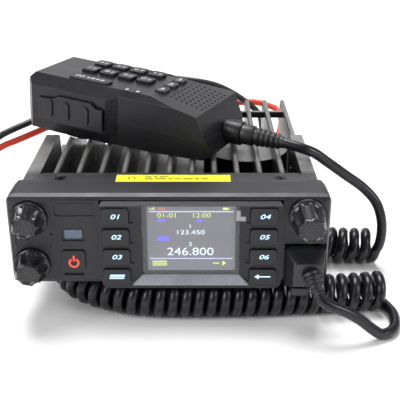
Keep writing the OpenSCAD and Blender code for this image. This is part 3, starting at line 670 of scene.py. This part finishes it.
# ---- print on the microphone and the label ----
PAD_U = [64.6 + 12.5 * i for i in range(4)]
PAD_V = [-4, 9.9, 23.8]
PAD_DIGITS = ("0987", "1654", "2321")
for k in range(12):
    marks = Marks()
    marks.number(PAD_DIGITS[k // 4][k % 4], -1.6, 0, 3.4, 0, 1.4, 0.02)
    marks.bar(2.3, 0.5, 2.2, 0.7).bar(2.0, -0.9, 1.6, 0.7)
    marks.piece(f"pad_legend_{k + 1:02d}", top_plane(PAD_U[k % 4], PAD_V[k // 4], 1.8),
                f"pad_key_{k + 1:02d}", M["mic_legend"])
for k, v in enumerate((-12, -1, 10, 23.5)):
    marks = Marks()
    marks.bar(0, -1.6, 3.2, 0.8).plate([(-1.5, 0), (1.5, 0), (0, 2.4)])
    marks.piece(f"oval_legend_{k + 1}", top_plane(49.3, v, 0.8), f"oval_key_{k + 1}", M["mic_legend"])
marks = Marks()
marks.number("00", -7.5, 0, 3.2, 0, 1.4, 0.02)
for k in range(4):
    marks.bar(-1.5 + 3.1 * k, 0, 2.2, 1.5 + 0.5 * (k % 2), 0.2)
marks.piece("wide_legend", top_plane(92.5, -20, 1.2), "wide_key", M["mic_legend"])
for k, u in enumerate((66.5, 59.5)):
    place = top_plane(u, -22.6, 0)
    turned(f"mic_light_ring_{k + 1}", [(-0.4, 2.2), (0.12, 2.2), (0.3, 1.9), (0.12, 1.5), (-0.4, 1.4)],
           "microphone", M["pad"], place, 28)
    turned(f"mic_light_{k + 1}", [(-0.3, 1.4), (0.0, 1.35), (0.12, 0.9), (0.15, 0.1)],
           "microphone", M["mic_legend"], place, 24)

marks = Marks(0.05)
marks.arc(-22, 0.8, 1.7, 0.55)
for row, widths in ((2.3, (3.4, 2.2, 4.6)), (-0.4, (4.2, 6.0, 2.6, 3.4, 5.2, 2.4, 3.6))):
    x = -15
    for w in widths:
        marks.bar(x + w / 2, row, w, 1.15)
        x += w + 1.0
marks.piece("label_marks", Matrix.Translation(front(1.6, 29.1, 46.76)) @ MM, "radio", M["label_mark"])

film = Marks(0.06)
film.plate([(-2.5, -2.6), (2.4, -2.9), (2.6, 2.4), (-2.3, 2.9)])
film_plane = front_plane(36.3, 0.1, 38.5) @ Matrix.Rotation(math.radians(-5), 4, "X")
film.piece("film_tab", film_plane, "radio", M["film"])

# ---- print on the front ----
KEY_Z = [38.6 - 11.35 * i for i in range(4)]
for side, x in (("left", -27), ("right", 48)):
    for i, z in enumerate(KEY_Z):
        marks = Marks()
        if i < 3:
            marks.number(f"0{i + 1 + (3 if side == 'right' else 0)}", 0.2, 0, 2.5, 0.25, 1.45, 0.02)
        elif side == "left":
            for k in (-1, 0, 1):
                marks.bar(k * 0.25, k * 0.95, 7.6, 0.5, 0.25)
        else:
            marks.bar(0.9, 0, 6.4, 0.6).plate([(-4.2, 0), (-2.0, 1.35), (-2.0, -1.35)])
        marks.piece(f"legend_{side}_{i + 1}", front_plane(x, -1.5, z), f"key_{side}_{i + 1}",
                    M["legend_core"])

power = Marks(0.08)
power.arc(0, -1.6, 2.3, 1.05, 122, 418).bar(0, 0.9, 1.0, 3.2)
power.piece("power_mark", front_plane(-49.2, 0.9, 13), "power_key", M["power_mark"])

# ---- screen contents, between the glass and the display ----
LCD = front_plane(-10.2, 2.05, 42.5)


def lcd(cx, cy):
    """A place on the screen from 0 to 1 across and down, in the drawing plane."""
    return cx * 42.8, -cy * 36.4


white, line, green, blue, red = (Marks(0.02) for _ in range(5))
for cy in (0.07, 0.80):
    line.bar(*lcd(0.5, cy), 42.6, 0.62)
for k in range(4):
    green.bar(*lcd(0.012 + 0.018 * k, 0.035 - 0.004 * k), 0.42, 0.7 + 0.32 * k)
    red.bar(*lcd(0.125 + 0.022 * k, 0.027), 0.5, 1.5)
green.bar(*lcd(0.905, 0.027), 2.6, 1.3).bar(*lcd(0.945, 0.027), 0.5, 0.6)
green.number("12:00", *lcd(0.62, 0.13), 2.5, 0, 1.25).number("01-01", *lcd(0.22, 0.13), 2.5, 0, 1.25)
for cx, cy, w, h in ((0.15, 0.205, 4.8, 1.6), (0.6, 0.205, 3.5, 1.6), (0.168, 0.485, 6.4, 2.6)):
    blue.bar(*lcd(cx, cy), w, h)
white.number("1", *lcd(0.49, 0.295), 2.2, 0, 1.3).number("123.450", *lcd(0.49, 0.39), 2.5, 0, 1.3)
white.number("2", *lcd(0.49, 0.575), 2.2, 0, 1.3).number("246.800", *lcd(0.49, 0.695), 4.4, 0, 1.2)
for k in range(3):
    green.bar(*lcd(0.12, 0.845 + 0.03 * k), 7.5, 0.6)
green.bar(*lcd(0.80, 0.875), 3.4, 0.7).plate([lcd(0.875, 0.835), lcd(0.875, 0.915), lcd(0.925, 0.875)])
for name, marks, material in (("white", white, "lcd_white"), ("lines", line, "lcd_line"),
                              ("green", green, "lcd_green"), ("blue", blue, "lcd_blue"),
                              ("red", red, "lcd_red")):
    marks.piece(f"screen_{name}", LCD, "radio", M[material])

# ---- floor and light ----
floor = add_mesh("floor", [(-30, -30, 0), (30, -30, 0), (30, 30, 0), (-30, 30, 0)], [(0, 1, 2, 3)], None,
                 bpy.data.materials.new("floor"), smooth=0)
floor.location.z = TABLE_Z / 1000
floor.data.materials[0].use_nodes = True
floor_shader = floor.data.materials[0].node_tree.nodes["Principled BSDF"]
floor_shader.inputs["Base Color"].default_value = (0.86, 0.855, 0.85, 1)
floor_shader.inputs["Roughness"].default_value = 0.6

sun_data = bpy.data.lights.new("overhead", "SUN")
sun_data.energy = 3.3
sun_data.angle = math.radians(32)
sun = bpy.data.objects.new("overhead", sun_data)
sun.rotation_euler = (math.radians(-15), math.radians(-5), 0)
bpy.context.scene.collection.objects.link(sun)

for name, place, size, power_w in (("left_box", (-0.9, -0.7, 0.7), 0.7, 10),
                                   ("right_box", (1.0, -0.5, 0.6), 0.6, 6),
                                   ("back_box", (0, 1.5, 0.75), 1.3, 4)):
    data = bpy.data.lights.new(name, "AREA")
    data.size, data.energy = size, power_w
    lamp = bpy.data.objects.new(name, data)
    lamp.location = place
    lamp.rotation_euler = (Vector((0, 0, 0)) - Vector(place)).to_track_quat("-Z", "Y").to_euler()
    bpy.context.scene.collection.objects.link(lamp)

world = bpy.data.worlds.new("studio")
world.use_nodes = True
world.node_tree.nodes["Background"].inputs["Color"].default_value = (0.97, 0.98, 1.0, 1)
world.node_tree.nodes["Background"].inputs["Strength"].default_value = 0.27
bpy.context.scene.world = world
bpy.context.scene.view_settings.view_transform = "Standard"
